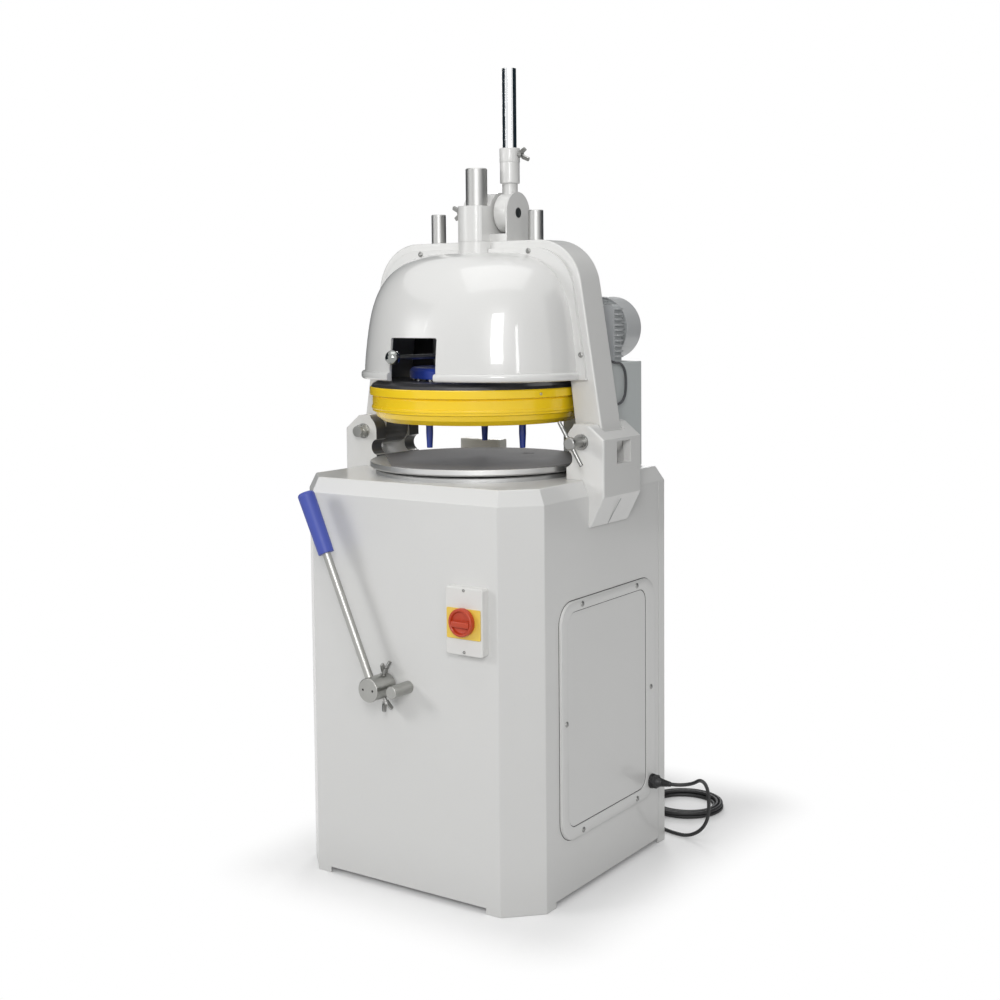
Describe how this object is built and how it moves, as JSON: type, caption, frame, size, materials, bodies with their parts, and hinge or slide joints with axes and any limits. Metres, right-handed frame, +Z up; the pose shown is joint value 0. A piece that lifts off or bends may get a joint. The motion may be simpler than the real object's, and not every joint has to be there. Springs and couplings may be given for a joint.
{
  "type": "dough divider",
  "caption": "Floor-standing dough divider and rounder: cabinet with orbiting lift table, tilting arch head with lever press, ring, knife grid and press plates.",
  "frame": {"origin": "on the floor below the press axis, in the middle of the machine's plan", "axes": "+Z up along the press axis, -Y towards the front with the switch and the front lever, +X to the side with the access panel"},
  "size_m": [0.732, 0.946, 1.695],
  "materials": {
    "white_paint": "gloss",
    "yellow_paint": "gloss",
    "blue_paint": "gloss",
    "blue_plastic": "gloss",
    "steel": "brushed",
    "chrome": "polished",
    "aluminium": "satin",
    "black_paint": "satin",
    "grey_paint": "satin",
    "cast_iron": "matte",
    "dark_sheet": "matte",
    "white_plastic": "gloss",
    "grey_plastic": "satin",
    "yellow_plastic": "gloss",
    "red_plastic": "gloss",
    "black_rubber": "matte",
    "brass": "satin"
  },
  "bodies": {
    "base": {"cabinet": "white_paint", "base_plate": "grey_paint", "access_panel": "white_paint", "panel_screws": "steel", "bracket_right": "white_paint", "bracket_left": "white_paint", "pivot_bolt": "steel", "switch_box": "grey_plastic", "switch_plate": "yellow_plastic", "lever_bush": "brass", "stop_stub": "steel", "table_bed": "aluminium", "lift_guide": "cast_iron", "pulley_housing": "cast_iron", "shaft_bearing": "cast_iron", "motor_stand": "white_paint", "gear_case": "grey_paint", "motor_body": "grey_paint", "fan_cowl": "grey_paint", "motor_lead": "black_rubber", "switch_block": "white_plastic", "drive_belt": "black_rubber", "cord_gland": "black_rubber", "mains_cord": "black_rubber", "cord_coil": "black_rubber", "cord_tail": "black_rubber", "mains_plug": "black_rubber"},
    "head": {"arch": "white_paint", "press_tower": "white_paint", "head_cover": "white_paint", "cover_screws": "steel", "spider": "blue_paint", "press_plates": "aluminium"},
    "ram": {"ram": "steel", "guide_rods": "steel", "carrier_plate": "black_paint", "dough_ring": "yellow_paint", "knife_grid": "steel"},
    "press_lever": {"press_pinion": "steel", "lever_hub": "white_paint", "lever_tube": "chrome"},
    "socket_screw": {"socket_screw": "steel"},
    "tower_screw": {"tower_screw": "steel"},
    "lock": {"lock_lever": "steel", "ball_knob": "chrome"},
    "front_lever": {"front_hub": "steel", "front_rod": "steel", "front_grip": "blue_plastic", "lift_pinion": "steel"},
    "hub_screw_top": {"hub_screw_top": "steel"},
    "hub_screw_low": {"hub_screw_low": "steel"},
    "lift": {"lift_column": "steel"},
    "crank": {"crank": "steel"},
    "table": {"table_disc": "aluminium", "mould_sheet": "dark_sheet"},
    "pulley": {"crank_pulley": "cast_iron"},
    "drive": {"drive_shaft": "steel"},
    "motor": {"motor_rotor": "steel"},
    "clamp": {"clamp_set": "steel"},
    "switch": {"switch_knob": "red_plastic"}
  },
  "joints": [
    {"name": "head_tilt", "type": "hinge", "parent": "base", "child": "head", "pos_m": [-0.284, 0, 0.918], "axis": [0, -1, 0], "range_deg": [0, 55]},
    {"name": "ram_slide", "type": "slide", "parent": "head", "child": "ram", "axis": [0, 0, -1], "range_m": [0, 0.0575]},
    {"name": "press_lever", "type": "hinge", "parent": "head", "child": "press_lever", "pos_m": [0, 0.048, 1.391], "axis": [1, 0, 0], "range_deg": [0, 110]},
    {"name": "socket_screw_turn", "type": "hinge", "parent": "press_lever", "child": "socket_screw", "pos_m": [0.0535, 0.048, 1.513], "axis": [1, 0, 0], "continuous": true},
    {"name": "tower_screw_turn", "type": "hinge", "parent": "head", "child": "tower_screw", "pos_m": [-0.04, 0.006, 1.393], "axis": [1, 0, 0], "continuous": true},
    {"name": "lock_turn", "type": "hinge", "parent": "head", "child": "lock", "pos_m": [0, 0, 1.0903], "axis": [0, 0, 1], "range_deg": [0, 20]},
    {"name": "table_lift", "type": "slide", "parent": "base", "child": "lift", "axis": [0, 0, 1], "range_m": [0, 0.0267]},
    {"name": "front_lever", "type": "hinge", "parent": "base", "child": "front_lever", "pos_m": [-0.04, -0.3, 0.428], "axis": [0, -1, 0], "range_deg": [0, 45]},
    {"name": "hub_screw_top_turn", "type": "hinge", "parent": "front_lever", "child": "hub_screw_top", "pos_m": [-0.04, -0.295, 0.428], "axis": [0.2419, 0, 0.9703], "continuous": true},
    {"name": "hub_screw_low_turn", "type": "hinge", "parent": "front_lever", "child": "hub_screw_low", "pos_m": [-0.04, -0.297, 0.428], "axis": [0.342, 0, -0.9397], "continuous": true},
    {"name": "crank_spin", "type": "hinge", "parent": "lift", "child": "crank", "pos_m": [0, 0, 0.78], "axis": [0, 0, 1], "continuous": true},
    {"name": "table_orbit", "type": "hinge", "parent": "crank", "child": "table", "pos_m": [0, 0.01, 0.858], "axis": [0, 0, 1], "continuous": true},
    {"name": "pulley_spin", "type": "hinge", "parent": "base", "child": "pulley", "pos_m": [0, 0, 0.764], "axis": [0, 0, 1], "continuous": true},
    {"name": "drive_spin", "type": "hinge", "parent": "base", "child": "drive", "pos_m": [0.19, 0.206, 0.764], "axis": [0, 0, 1], "continuous": true},
    {"name": "motor_spin", "type": "hinge", "parent": "base", "child": "motor", "pos_m": [0.146, 0.3, 1.142], "axis": [0, 1, 0], "continuous": true},
    {"name": "clamp_turn", "type": "hinge", "parent": "base", "child": "clamp", "pos_m": [0.284, -0.08, 0.918], "axis": [0, 1, 0], "continuous": true},
    {"name": "switch_turn", "type": "hinge", "parent": "base", "child": "switch", "pos_m": [0.168, -0.3, 0.583], "axis": [0, 1, 0], "range_deg": [0, 90]}
  ],
  "couplings": [
    {"joint": "press_lever", "follows": "ram_slide", "rad_per_m": 33.333},
    {"joint": "front_lever", "follows": "table_lift", "rad_per_m": 29.412},
    {"joint": "table_orbit", "follows": "crank_spin", "ratio": -1},
    {"joint": "pulley_spin", "follows": "crank_spin", "ratio": 1},
    {"joint": "drive_spin", "follows": "crank_spin", "ratio": 2.5},
    {"joint": "motor_spin", "follows": "crank_spin", "ratio": 25}
  ]
}
